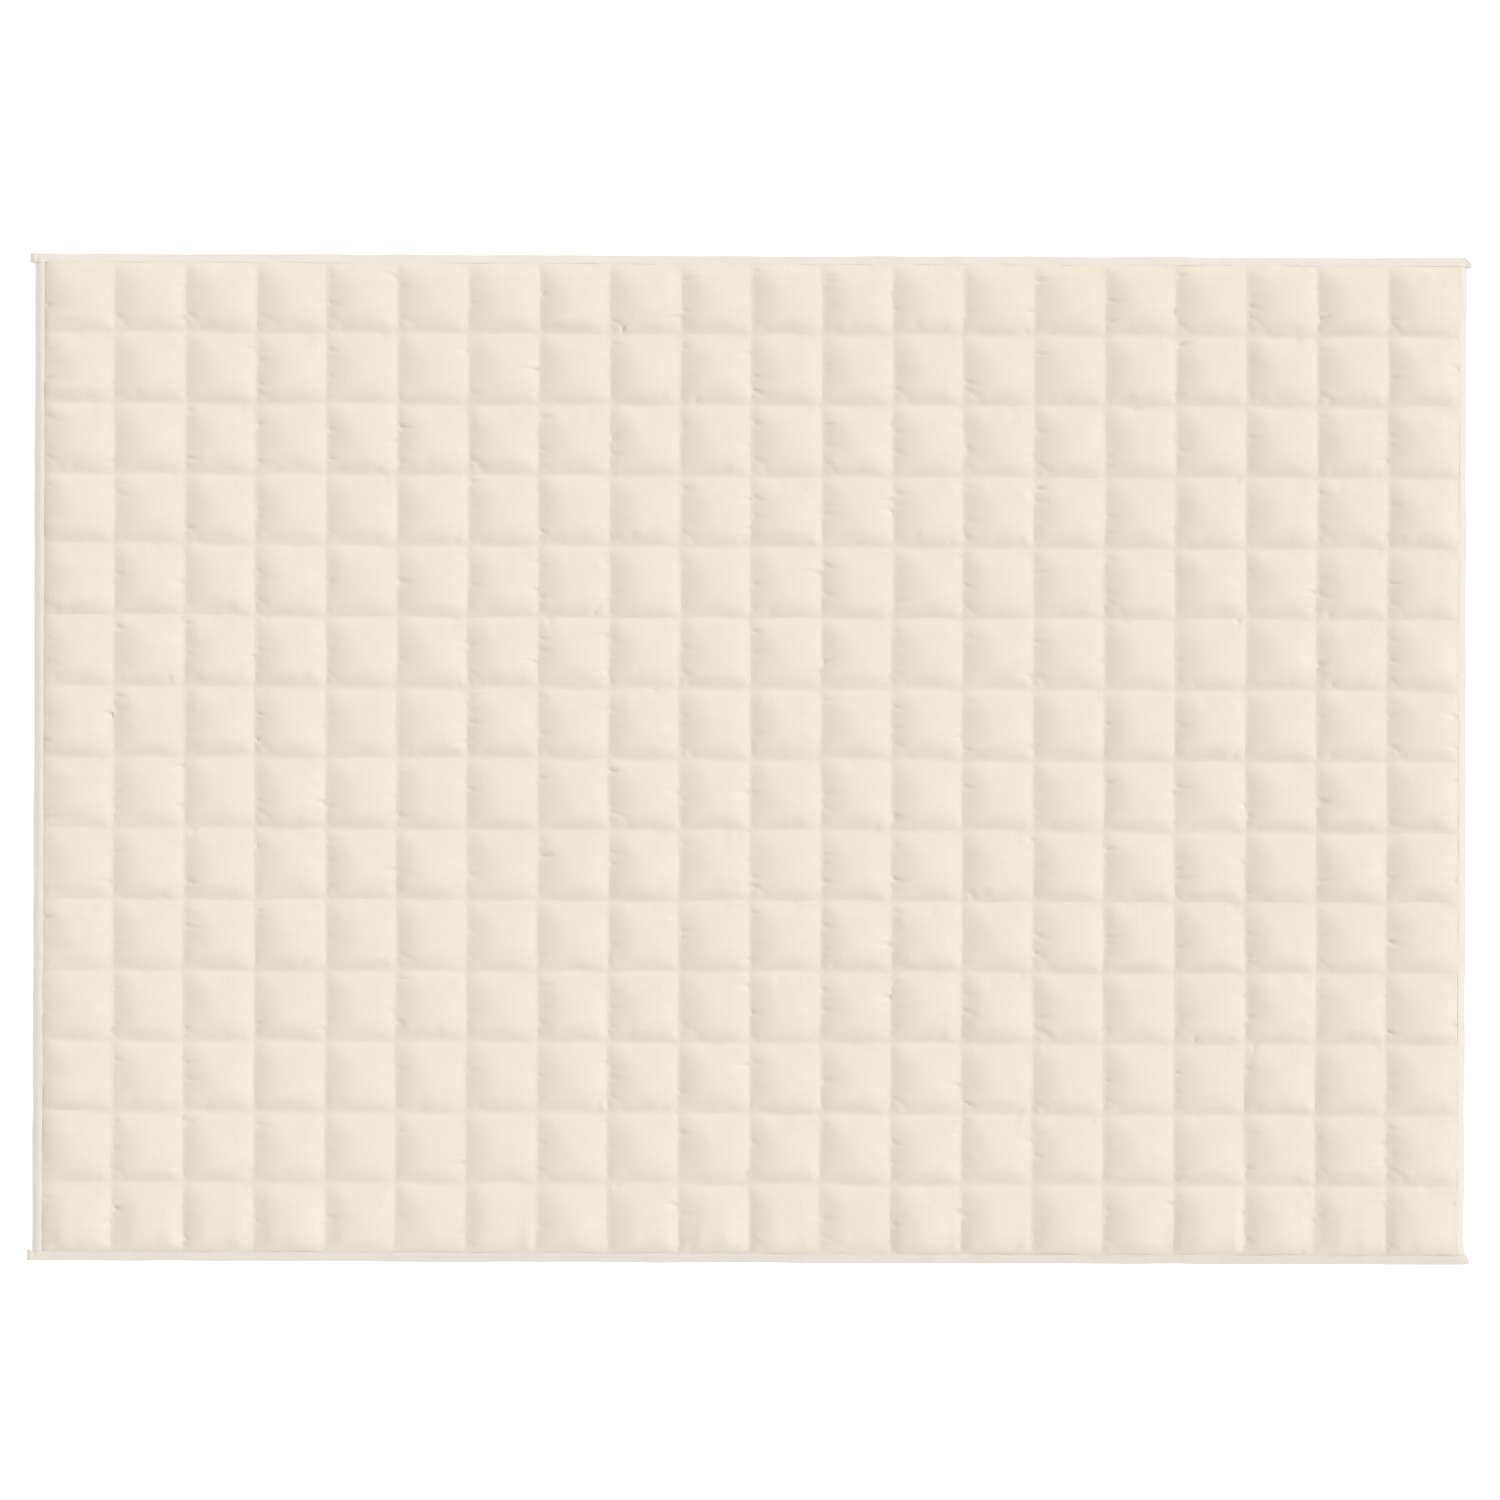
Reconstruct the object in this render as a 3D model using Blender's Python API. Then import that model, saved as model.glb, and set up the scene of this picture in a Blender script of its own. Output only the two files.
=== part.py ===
"""A quilted weighted blanket with a bound edge, lying flat on z = 0.

It is one filled body, sewn through in a grid of squares, and four binding tapes that are
folded over its hem. The long tapes run past the side tapes and end in small ears.
+X runs along the long side, +Z is up, and the origin is under the middle of the blanket.
"""

import math
import random

import bmesh
import bpy
from mathutils import Vector

LENGTH = 2.000  # along X, over the folds of the side tapes
WIDTH = 1.407  # along Y, over the folds of the long tapes
COLUMNS = 20
ROWS = 14
SQUARE = 0.0988  # between neighbouring quilting lines

TAPE = 0.0010  # the tape's thickness
GAP = 0.0003  # between pieces that touch
BODY_TO_TAPE = 0.0005  # from a tape's inner edge to where the filling begins

# Heights above the surface that the blanket lies on.
HEM_UNDER = TAPE + GAP
HEM_TOP = HEM_UNDER + 0.0022
SEAM_UNDER = 0.0045
SEAM_TOP = 0.0067
CROWN_TOP = 0.0155

# One sewn square, measured in from its quilting lines.
SHOULDER_IN = 0.009
CROWN_IN = 0.030
DOME_POWER = 2.4
UNDERSIDE_IN = 0.016
CROWN_UNEVEN = 0.10  # the share by which the height of a square's filling varies
CROWN_DRIFT = 0.006  # how far the filling's highest point wanders from the middle

# The section of a folded tape.
FOLD_RADIUS = (HEM_TOP + HEM_UNDER) / 2
FOLD_STEPS = 8
TAPE_TOP = 2 * FOLD_RADIUS
RIDGE_TOP = TAPE_TOP + 0.0006
RIDGE_SHARE = 0.62  # of the tape's width, in from the fold

# side: the tape's name ending; width: what shows of it from above
SIDE_TAPES = {
    "left": {"side": -1, "width": 0.0150},
    "right": {"side": 1, "width": 0.0115},
}
# ears: how far the tape runs past the blanket at its -X and +X ends
LONG_TAPES = {
    "far": {"side": 1, "width": 0.0130, "ears": (0.007, 0.006)},
    "near": {"side": -1, "width": 0.0130, "ears": (0.008, 0.008)},
}

COTTON = (0.80, 0.73, 0.60, 1.0)
TAPE_COTTON = (0.82, 0.77, 0.66, 1.0)


def clear_scene():
    for obj in list(bpy.data.objects):
        bpy.data.objects.remove(obj, do_unlink=True)


def new_collection(name):
    collection = bpy.data.collections.new(name)
    bpy.context.scene.collection.children.link(collection)
    return collection


def cloth_material(name, colour):
    material = bpy.data.materials.new(name)
    material.use_nodes = True
    shader = material.node_tree.nodes["Principled BSDF"]
    shader.inputs["Base Color"].default_value = colour
    shader.inputs["Roughness"].default_value = 0.92
    shader.inputs["Metallic"].default_value = 0.0
    return material


def quilting_lines(count, first, last):
    """The sewn lines across one direction, with the outermost ones along the tapes."""
    inner = [(i - count / 2) * SQUARE for i in range(1, count)]
    return [first, *inner, last]


def column_lines():
    left = -LENGTH / 2 + SIDE_TAPES["left"]["width"] + BODY_TO_TAPE
    right = LENGTH / 2 - SIDE_TAPES["right"]["width"] - BODY_TO_TAPE
    return quilting_lines(COLUMNS, left, right)


def row_lines():
    near = -WIDTH / 2 + LONG_TAPES["near"]["width"] + BODY_TO_TAPE
    far = WIDTH / 2 - LONG_TAPES["far"]["width"] - BODY_TO_TAPE
    return quilting_lines(ROWS, near, far)


def slab_of_layers(columns, rows):
    """The sewn-down layers with the hem, divided along every quilting line."""
    bm = bmesh.new()
    bmesh.ops.create_cube(bm, size=1.0)
    hem = 2 * (TAPE + GAP)
    bmesh.ops.scale(bm, vec=(LENGTH - hem, WIDTH - hem, HEM_TOP - HEM_UNDER), verts=bm.verts)
    for axis, lines in ((Vector((1, 0, 0)), columns), (Vector((0, 1, 0)), rows)):
        for place in lines:
            geometry = [*bm.verts, *bm.edges, *bm.faces]
            bmesh.ops.bisect_plane(bm, geom=geometry, plane_co=axis * place, plane_no=axis)
    return bm


def lift_seams(bm, columns, rows):
    """Sets the hem on the tapes, and the seams inside it at the height where they are held."""
    for vert in bm.verts:
        on_top = vert.co.z > 0
        inside_x = columns[0] + GAP < vert.co.x < columns[-1] - GAP
        inside_y = rows[0] + GAP < vert.co.y < rows[-1] - GAP
        if inside_x and inside_y:
            vert.co.z = SEAM_TOP if on_top else SEAM_UNDER
        else:
            vert.co.z = HEM_TOP if on_top else HEM_UNDER


def sewn_squares(bm, columns, rows, facing):
    """The faces inside the outermost quilting lines that face up (1) or down (-1)."""
    found = []
    for face in bm.faces:
        centre = face.calc_center_median()
        in_x = columns[0] < centre.x < columns[-1]
        in_y = rows[0] < centre.y < rows[-1]
        if in_x and in_y and face.normal.z * facing > 0.7:
            found.append(face)
    return found


def dome(share):
    """0 on a quilting line, 1 in the middle between two, with full shoulders."""
    return 1 - abs(2 * share - 1) ** DOME_POWER


def raise_crown(square, outline, drift, fullness):
    """Puts the points inside one square on a dome over its outline."""
    low = Vector((min(v.x for v in outline), min(v.y for v in outline), 0))
    high = Vector((max(v.x for v in outline), max(v.y for v in outline), 0))
    size = high - low
    rise = (CROWN_TOP - SEAM_TOP) * fullness
    for vert in square:
        u = (vert.co.x - low.x) / size.x
        v = (vert.co.y - low.y) / size.y
        swell = dome(u) * dome(v)
        vert.co.z += rise * swell
        vert.co.x += drift.x * swell
        vert.co.y += drift.y * swell


def fill_squares(bm, squares):
    """Insets each upper square twice, and raises the new points as the filling does."""
    chance = random.Random(14)
    outlines = {face: [vert.co.copy() for vert in face.verts] for face in squares}
    bmesh.ops.inset_individual(bm, faces=squares, thickness=SHOULDER_IN)
    shoulders = {face: [*face.verts] for face in squares}
    shoulder_edges = {face: [*face.edges] for face in squares}
    bmesh.ops.inset_individual(bm, faces=squares, thickness=CROWN_IN - SHOULDER_IN)
    for face in squares:
        for edge in shoulder_edges[face]:
            shoulders[face].append(bmesh.utils.edge_split(edge, edge.verts[0], 0.5)[1])
    crowns = {face: [*face.verts] for face in squares}
    for face in squares:
        middle = bmesh.ops.poke(bm, faces=[face])["verts"]
        drift = Vector((chance.uniform(-1, 1), chance.uniform(-1, 1))) * CROWN_DRIFT
        fullness = 1 + chance.uniform(-1, 1) * CROWN_UNEVEN
        inner = [*shoulders[face], *crowns[face], *middle]
        raise_crown(inner, outlines[face], drift, fullness)


def rest_squares(bm, squares):
    """Insets each lower square once, and sets the middle of it on the surface."""
    bmesh.ops.inset_individual(bm, faces=squares, thickness=UNDERSIDE_IN)
    for face in squares:
        for vert in face.verts:
            vert.co.z = 0


def quilted_body(collection):
    columns = column_lines()
    rows = row_lines()
    bm = slab_of_layers(columns, rows)
    lift_seams(bm, columns, rows)
    bm.normal_update()
    fill_squares(bm, sewn_squares(bm, columns, rows, 1))
    rest_squares(bm, sewn_squares(bm, columns, rows, -1))
    mesh = bpy.data.meshes.new("quilted_body")
    bm.to_mesh(mesh)
    bm.free()
    mesh.shade_smooth()
    mesh.set_sharp_from_angle(angle=math.radians(35))
    mesh.materials.append(cloth_material("quilt_cotton", COTTON))
    body = bpy.data.objects.new("quilted_body", mesh)
    collection.objects.link(body)


def folded_section(width):
    """The outline of a folded tape: X in from the fold, Y up from the surface."""
    arc = []
    for step in range(FOLD_STEPS + 1):
        angle = math.radians(270) - math.pi * step / FOLD_STEPS
        arc.append((FOLD_RADIUS * (1 + math.cos(angle)), FOLD_RADIUS * (1 + math.sin(angle))))
    ridge = (width * RIDGE_SHARE, RIDGE_TOP)
    return [(width, 0), *arc, ridge, (width, TAPE_TOP)]


def section_to_world(along_x, side, long_span):
    """The axes that lay a section along X or Y, with its fold on the outer side."""
    inward = Vector((0, -side, 0)) if along_x else Vector((-side, 0, 0))
    up = Vector((0, 0, 1))
    edge = WIDTH / 2 if along_x else LENGTH / 2
    along = inward.cross(up)
    middle = Vector((sum(long_span) / 2, 0, 0)) if along_x else Vector((0, sum(long_span) / 2, 0))
    return inward, up, along, middle - inward * edge


def solid_strip(name, width, along_x, side, span):
    """The full section of a tape as one closed strip between the two ends of span."""
    curve = bpy.data.curves.new(name, "CURVE")
    curve.dimensions = "2D"
    curve.fill_mode = "BOTH"
    curve.extrude = (span[1] - span[0]) / 2
    points = folded_section(width)
    spline = curve.splines.new("POLY")
    spline.points.add(len(points) - 1)
    for point, (inward, height) in zip(spline.points, points):
        point.co = (inward, height, 0, 1)
    spline.use_cyclic_u = True
    guide = bpy.data.objects.new(name + "_outline", curve)
    bpy.context.scene.collection.objects.link(guide)
    bpy.context.view_layer.update()
    evaluated = guide.evaluated_get(bpy.context.evaluated_depsgraph_get())
    mesh = bpy.data.meshes.new_from_object(evaluated)
    bpy.data.objects.remove(guide)
    x_axis, y_axis, z_axis, origin = section_to_world(along_x, side, span)
    bm = bmesh.new()
    bm.from_mesh(mesh)
    bmesh.ops.remove_doubles(bm, verts=bm.verts, dist=0.00001)
    for vert in bm.verts:
        vert.co = origin + x_axis * vert.co.x + y_axis * vert.co.y + z_axis * vert.co.z
    bmesh.ops.recalc_face_normals(bm, faces=bm.faces)
    bm.to_mesh(mesh)
    bm.free()
    return mesh


def hem_slot(cutters, name, low, high):
    """A box that leaves room in a tape for the hem."""
    bm = bmesh.new()
    bmesh.ops.create_cube(bm, size=1.0)
    bmesh.ops.scale(bm, vec=high - low, verts=bm.verts)
    mesh = bpy.data.meshes.new(name + "_slot")
    bm.to_mesh(mesh)
    bm.free()
    slot = bpy.data.objects.new(name + "_slot", mesh)
    slot.location = (low + high) / 2
    slot.hide_render = True
    slot.display_type = "WIRE"
    cutters.objects.link(slot)
    return slot


def binding_tape(collection, cutters, name, mesh, slot_low, slot_high, material):
    mesh.name = name
    mesh.materials.clear()
    mesh.materials.append(material)
    tape = bpy.data.objects.new(name, mesh)
    collection.objects.link(tape)
    cut = tape.modifiers.new("hem_slot", "BOOLEAN")
    cut.operation = "DIFFERENCE"
    cut.object = hem_slot(cutters, name, slot_low, slot_high)


def bindings(collection, cutters):
    """Side tapes between the long tapes, and long tapes over the corners with their ears."""
    material = cloth_material("binding_cotton", TAPE_COTTON)
    inner = HEM_UNDER - GAP
    outer = HEM_TOP + GAP
    reach = 0.002  # how far a slot's cutter stands out of the tape
    side_span = (
        -WIDTH / 2 + LONG_TAPES["near"]["width"] + GAP,
        WIDTH / 2 - LONG_TAPES["far"]["width"] - GAP,
    )
    for ending, tape in SIDE_TAPES.items():
        name = "binding_" + ending
        side = tape["side"]
        mesh = solid_strip(name, tape["width"], False, side, side_span)
        across = sorted((side * (LENGTH / 2 - TAPE), side * (LENGTH / 2 - tape["width"] - reach)))
        low = Vector((across[0], side_span[0] - reach, inner))
        high = Vector((across[1], side_span[1] + reach, outer))
        binding_tape(collection, cutters, name, mesh, low, high, material)
    for ending, tape in LONG_TAPES.items():
        name = "binding_" + ending
        side = tape["side"]
        span = (-LENGTH / 2 - tape["ears"][0], LENGTH / 2 + tape["ears"][1])
        mesh = solid_strip(name, tape["width"], True, side, span)
        across = sorted((side * (WIDTH / 2 - TAPE), side * (WIDTH / 2 - tape["width"] - reach)))
        hem_end = LENGTH / 2 - TAPE
        low = Vector((-hem_end, across[0], inner))
        high = Vector((hem_end, across[1], outer))
        binding_tape(collection, cutters, name, mesh, low, high, material)


def main():
    clear_scene()
    blanket = new_collection("weighted_blanket")
    cutters = new_collection("cutters")
    quilted_body(blanket)
    bindings(blanket, cutters)


main()
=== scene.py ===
"""The looks of a quilted weighted blanket with a bound edge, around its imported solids.

Lengths are metres in the frame of the solids. +X runs along the long side, +Y from the near
to the far long side, and +Z is up from the surface that the blanket lies on. All chance
is seeded, so every run makes the same blanket.
"""

import math

import bpy
import numpy as np
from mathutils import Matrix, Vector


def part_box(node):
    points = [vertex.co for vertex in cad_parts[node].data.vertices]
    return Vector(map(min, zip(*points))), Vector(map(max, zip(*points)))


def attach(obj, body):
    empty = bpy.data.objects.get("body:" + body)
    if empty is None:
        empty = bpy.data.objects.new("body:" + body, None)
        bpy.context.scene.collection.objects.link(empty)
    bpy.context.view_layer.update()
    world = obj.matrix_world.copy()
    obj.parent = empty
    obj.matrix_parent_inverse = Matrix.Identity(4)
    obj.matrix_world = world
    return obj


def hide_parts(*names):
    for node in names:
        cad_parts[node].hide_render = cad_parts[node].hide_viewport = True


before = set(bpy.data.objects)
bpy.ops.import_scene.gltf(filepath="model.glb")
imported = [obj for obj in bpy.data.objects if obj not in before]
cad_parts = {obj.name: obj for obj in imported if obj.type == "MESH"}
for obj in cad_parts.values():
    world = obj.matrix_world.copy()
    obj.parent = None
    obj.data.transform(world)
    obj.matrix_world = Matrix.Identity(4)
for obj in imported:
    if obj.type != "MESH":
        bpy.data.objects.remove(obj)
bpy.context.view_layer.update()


# Pockets of face cloth
# Each square of the blanket is a pocket: face cloth that is sewn down on four sides over
# wadding and beads. The cloth is a little larger than its square, so the filling swells it
# to a crown, with mitred corners and small dents where the sewing holds it back.

SQUARE = 0.0988  # between neighbouring quilting lines
POCKETS = 24
POCKETS_ABREAST = 6
POCKETS_APART = 1.4  # from corner to corner where they are swelled, in squares
POCKET_CROWN = 0.0088  # how far a pocket stands above its seams
CLOTH_STEPS = 24  # the cells along each side of a pocket while it is swelled
LAID_DOME = 0.001  # the crown of the cloth before it is swelled
LAID_UNEVEN = (0.001, 0.004)  # and the least and most that it is uneven by
UNEVEN_POINTS = 8
UNEVEN_FADE = 6  # over a sixth of a pocket at each seam
ENLARGED = 10  # the cloth is swelled at this scale, which its stiffness suits
SWELLING_FRAMES = 40


def blended(lattice, across, along):
    """A smooth surface through a lattice of values, read at across and along from 0 to 1.

    Between four lattice points it is their mean, weighted in each direction by
    t * t * (3 - 2 * t), where t is the share of the way from one point to the next.
    """
    rows, columns = lattice.shape[0] - 1, lattice.shape[1] - 1
    x, y = np.clip(across, 0, 1) * columns, np.clip(along, 0, 1) * rows
    i, j = np.minimum(x.astype(int), columns - 1), np.minimum(y.astype(int), rows - 1)
    s, t = x - i, y - j
    s, t = s * s * (3 - 2 * s), t * t * (3 - 2 * t)
    near = lattice[j, i] * (1 - s) + lattice[j, i + 1] * s
    far = lattice[j + 1, i] * (1 - s) + lattice[j + 1, i + 1] * s
    return near * (1 - t) + far * t


def grid_faces(index):
    """The quads of a grid of point numbers, which face up where rows go to +Y."""
    corners = [index[:-1, :-1], index[:-1, 1:], index[1:, 1:], index[1:, :-1]]
    return np.stack(corners, axis=-1).reshape(-1, 4)


def new_piece(name, points, faces):
    """A smooth-shaded mesh object at the origin."""
    mesh = bpy.data.meshes.new(name)
    mesh.from_pydata(points.reshape(-1, 3).tolist(), [], faces)
    mesh.shade_smooth()
    piece = bpy.data.objects.new(name, mesh)
    bpy.context.scene.collection.objects.link(piece)
    return piece


def laid_cloth(chance, u, v):
    """The height of one pocket's cloth before it is filled, over u and v from 0 to 1.

    It is a low dome, sin(pi u) sin(pi v), plus unevenness that fades at the seams.
    """
    edge = np.minimum(np.minimum(u, 1 - u), np.minimum(v, 1 - v))
    lattice = chance.random((UNEVEN_POINTS, UNEVEN_POINTS)) - 0.5
    uneven = blended(lattice, u, v) * np.minimum(1, UNEVEN_FADE * edge)
    dome = LAID_DOME * np.sin(np.pi * u) * np.sin(np.pi * v)
    return dome + chance.uniform(*LAID_UNEVEN) * uneven


def swelled(cloth):
    """The places of the cloth's points after its filling has swelled it.

    Blender's cloth simulation lets the cloth grow by its slack and presses it up from below.
    The points of the group "sewn" stay.
    """
    filling = cloth.modifiers.new("filling", "CLOTH")
    filling.point_cache.frame_end = SWELLING_FRAMES
    filling.collision_settings.use_collision = False
    settings = filling.settings
    settings.quality = 6
    settings.mass = 0.4
    settings.air_damping = 2
    settings.tension_stiffness = 30
    settings.compression_stiffness = 30
    settings.shear_stiffness = 10
    settings.bending_stiffness = 10
    settings.shrink_min = -0.01
    settings.vertex_group_mass = "sewn"
    settings.use_pressure = True
    settings.uniform_pressure_force = 6
    settings.effector_weights.gravity = 0
    for step in range(1, SWELLING_FRAMES + 1):
        bpy.context.scene.frame_set(step)
    mesh = cloth.evaluated_get(bpy.context.evaluated_depsgraph_get()).data
    places = np.empty(3 * len(mesh.vertices), np.float32)
    mesh.vertices.foreach_get("co", places)
    bpy.context.scene.frame_set(1)
    return places.astype(float)


def filled_pockets():
    """The points of the filled pockets, one grid of CLOTH_STEPS cells each way, in squares.

    The flat grids are laid out side by side, swelled with their sides sewn, and moved back,
    with the height that gives their crowns the right mean.
    """
    share = np.linspace(0, 1, CLOTH_STEPS + 1)
    u, v = np.meshgrid(share, share)
    chance = np.random.default_rng(seed=14)
    place = np.arange(POCKETS)
    corner_x = (place % POCKETS_ABREAST * POCKETS_APART)[:, None, None]
    corner_y = (place // POCKETS_ABREAST * POCKETS_APART)[:, None, None]
    heights = np.stack([laid_cloth(chance, u, v) for pocket in range(POCKETS)]) / SQUARE
    points = np.stack(np.broadcast_arrays(u + corner_x, v + corner_y, heights), axis=-1)
    numbers = np.arange(heights.size).reshape(heights.shape)
    faces = np.concatenate([grid_faces(index) for index in numbers])
    cloth = new_piece("pockets", points * SQUARE * ENLARGED, faces.tolist())
    sides = [numbers[:, 0], numbers[:, -1], numbers[:, :, 0], numbers[:, :, -1]]
    sewn = cloth.vertex_groups.new(name="sewn")
    sewn.add(np.unique(np.concatenate([side.ravel() for side in sides])).tolist(), 1, "REPLACE")

    found = swelled(cloth).reshape(points.shape) / (SQUARE * ENLARGED)
    bpy.data.objects.remove(cloth)
    found[..., 0] -= corner_x
    found[..., 1] -= corner_y
    found[..., 2] *= POCKET_CROWN / SQUARE / found[..., 2].max(axis=(1, 2)).mean()
    return found


def curve_weights(shares):
    """Weights that read the smooth curve through evenly spaced points at shares of its length.

    Between two points it is the Catmull-Rom cubic, which also leans on the next point at
    either side. Beyond an end the points go on in a straight line.
    """
    place = shares * CLOTH_STEPS
    first = np.minimum(place.astype(int), CLOTH_STEPS - 1)
    t = place - first
    weights = np.zeros((len(shares), CLOTH_STEPS + 3))
    line = np.arange(len(shares))
    weights[line, first] = (-t + 2 * t**2 - t**3) / 2
    weights[line, first + 1] = (2 - 5 * t**2 + 3 * t**3) / 2
    weights[line, first + 2] = (t + 4 * t**2 - 3 * t**3) / 2
    weights[line, first + 3] = (t**3 - t**2) / 2
    weights[:, 1] += 2 * weights[:, 0]
    weights[:, 2] -= weights[:, 0]
    weights[:, -2] += 2 * weights[:, -1]
    weights[:, -3] -= weights[:, -1]
    return weights[:, 1:-1]


STEPS_X = 20  # a finished pocket's cells along X, crowded beside its seams
STEPS_Y = 36  # and along Y, even, and fine enough for the tucks
CROWDING = 0.08

even_x = np.linspace(0, 1, STEPS_X + 1)
share_x = even_x - CROWDING * np.sin(2 * np.pi * even_x)
share_y = np.linspace(0, 1, STEPS_Y + 1)
pockets = np.einsum(
    "vi,pijk,uj->pvuk", curve_weights(share_y), filled_pockets(), curve_weights(share_x))
mirrored = pockets[:, :, ::-1] * (-1, 1, 1) + (1, 0, 0)
pockets = np.concatenate([pockets, mirrored])
mirrored = pockets[:, ::-1] * (1, -1, 1) + (0, 1, 0)
pockets = np.concatenate([pockets, mirrored])


# Quilt
# The blanket is cream cotton, face and back, with wadding and glass beads between them, sewn
# through along straight lines. It is modelled as three closed parts that meet in seams, of
# five, four and five rows of pockets. The filling rests flat on the surface underneath.

TAPE_WIDTHS = {"left": 0.0124, "right": 0.0110, "far": 0.0130, "near": 0.0125}
BODY_TO_TAPE = 0.0005  # from a tape's inner edge to the border, where the filling begins
BORDER_TOPS = {"left": 0.0034, "right": 0.0066, "far": 0.0066, "near": 0.0048}
HELD_IN = 0.0024  # from the border to where the tape holds the face down
HELD_DROPS = {"left": 0.0005, "right": 0.0013, "far": 0.0012, "near": 0.0008}
HEM_EDGE = 0.0020  # the hem's own edge, in from the fold of the tape
HEM_UNDER = 0.0013
HEM_TOP = 0.0022
SEAM_UNDER = 0.0045
SEAM_TOP = 0.0067
BORDER_REACH = 0.009
QUILTING_SHIFT = 0.0008  # the lines lie a little off the blanket's middle
SEAM_SWAY = 0.0011  # how far the lines along Y stray from straight
ROW_SWAY = 0.0018  # and the lines along X
ROW_BOW = 0.0030  # how far the lines along X rise in the far left part
SEAM_LIFT = 0.0004

tape_boxes = {end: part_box("binding_" + end) for end in ("left", "right", "far", "near")}
edges = {
    "left": tape_boxes["left"][0].x,
    "right": tape_boxes["right"][1].x,
    "near": tape_boxes["near"][0].y,
    "far": tape_boxes["far"][1].y,
}
inward = {"left": 1, "right": -1, "near": 1, "far": -1}
borders = {end: edges[end] + inward[end] * (TAPE_WIDTHS[end] + BODY_TO_TAPE) for end in edges}
COLUMNS = round((borders["right"] - borders["left"]) / SQUARE)
ROWS = round((borders["far"] - borders["near"]) / SQUARE)


def quilting_lines(count, first, last):
    """Evenly spaced lines about the middle, with the outermost ones along the tapes."""
    return np.array([first, *((np.arange(1, count) - count / 2) * SQUARE), last])


columns = quilting_lines(COLUMNS, borders["left"], borders["right"])
columns[1:-1] += QUILTING_SHIFT
rows = quilting_lines(ROWS, borders["near"], borders["far"])
chance = np.random.default_rng(seed=31)
sway_across = chance.uniform(-SEAM_SWAY, SEAM_SWAY, (ROWS * 2 + 1, COLUMNS + 1))
sway_along = chance.uniform(-ROW_SWAY, ROW_SWAY, (ROWS + 1, COLUMNS * 2 + 1))
lift = chance.uniform(-SEAM_LIFT, SEAM_LIFT, (ROWS * 3 + 1, COLUMNS * 3 + 1))
sway_across[:, [0, -1]] = 0
sway_along[[0, -1]] = 0
lift[[0, -1]] = 0
lift[:, [0, -1]] = 0


def swayed(points):
    """Moves points by the sewing's smooth straying, which leaves the borders straight.

    With p and q from 0 to 1 across and along the blanket, the lines along X also bow by
    ROW_BOW (1 - p)^3 sin(pi q^3).
    """
    across = (points[..., 0] - columns[0]) / (columns[-1] - columns[0])
    along = np.clip((points[..., 1] - rows[0]) / (rows[-1] - rows[0]), 0, 1)
    strays = [blended(lattice, across, along) for lattice in (sway_across, sway_along, lift)]
    strays[1] = strays[1] + ROW_BOW * (1 - across) ** 3 * np.sin(np.pi * along**3)
    return points + np.stack(strays, axis=-1)


square_x = columns[:-1, None, None]
square_y = rows[:-1, None, None, None]
wide = np.diff(columns)[:, None, None]
deep = np.diff(rows)[:, None, None, None]


def in_squares(u, v):
    """The places in all squares of u and v, which go from 0 to 1 across a square."""
    return square_x + u * wide + 0 * deep, square_y + v * deep + 0 * wide


def by_chance(least, most):
    """A chance value from least to most for every square."""
    return chance.uniform(least, most, (ROWS, COLUMNS, 1, 1))


def seam_height(x, y, inner, tops):
    """The height of the sewn cloth, which is inner apart from beside the borders.

    At distance d from a border it is inner minus the border's drop times exp(-d / 9 mm), and
    near a corner the larger of two such drops counts.
    """
    distances = {
        "left": x - columns[0], "right": columns[-1] - x,
        "near": y - rows[0], "far": rows[-1] - y}
    drops = [(inner - tops[end]) * np.exp(-distances[end] / BORDER_REACH) for end in tops]
    return inner - np.maximum.reduce(np.broadcast_arrays(*drops))


def rounded_valleys(height):
    """The height with every line along X averaged with its neighbours, 1 : 2 : 1."""
    height = height.copy()
    height[1:-1] = (height[:-2] + 2 * height[1:-1] + height[2:]) / 4
    return height


def eased(x):
    """From 0 to 1 in a smooth step, x * x * (3 - 2 * x)."""
    x = np.clip(x, 0, 1)
    return x * x * (3 - 2 * x)


FULLNESS = (0.94, 1.06)
LEAN = 0.13  # how much higher or lower a pocket may be at its sides
ROUNDER = 0.27  # rounds a pocket off towards its left and right seams
FULLER_LEFT = 0.06
BRIM_IN = (0.11, 0.19)  # where the filling piles up along the near seam, in squares
BRIM_WIDTH = 0.08
BRIM_HEIGHT = (0.07, 0.23)  # as a share of the pocket's height
BRIM_LOSS = 0.4  # how much of that is lost towards the right
PINCHES = (  # a corner in u and v, and the least and most that it loses of its height
    (0, 0, 0, 0.1), (0, 1, 0.4, 1.0), (1, 0, 0, 0.8), (1, 1, 0.1, 0.9))
PINCH_REACH = (0.010, 0.020)


def leaning(u, v):
    """A chance slope over every pocket, 1 + a (2 u - 1) + b (2 v - 1)."""
    lean_x, lean_y = by_chance(-LEAN, LEAN), by_chance(-LEAN, LEAN)
    return 1 + lean_x * (2 * u - 1) + lean_y * (2 * v - 1)


def slumped(u, v):
    """How the filling's slide to the near left swells a pocket.

    It is 1 + FULLER_LEFT sin(2 pi u), plus a brim of exp(-(d / width)^2) at distance d from
    a line near the near seam, whose height falls evenly from left to right.
    """
    brim = by_chance(*BRIM_IN)
    piled = by_chance(*BRIM_HEIGHT) * np.exp(-(((v - brim) / BRIM_WIDTH) ** 2))
    return 1 + FULLER_LEFT * np.sin(2 * np.pi * u) + piled * (1 - BRIM_LOSS * u)


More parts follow.
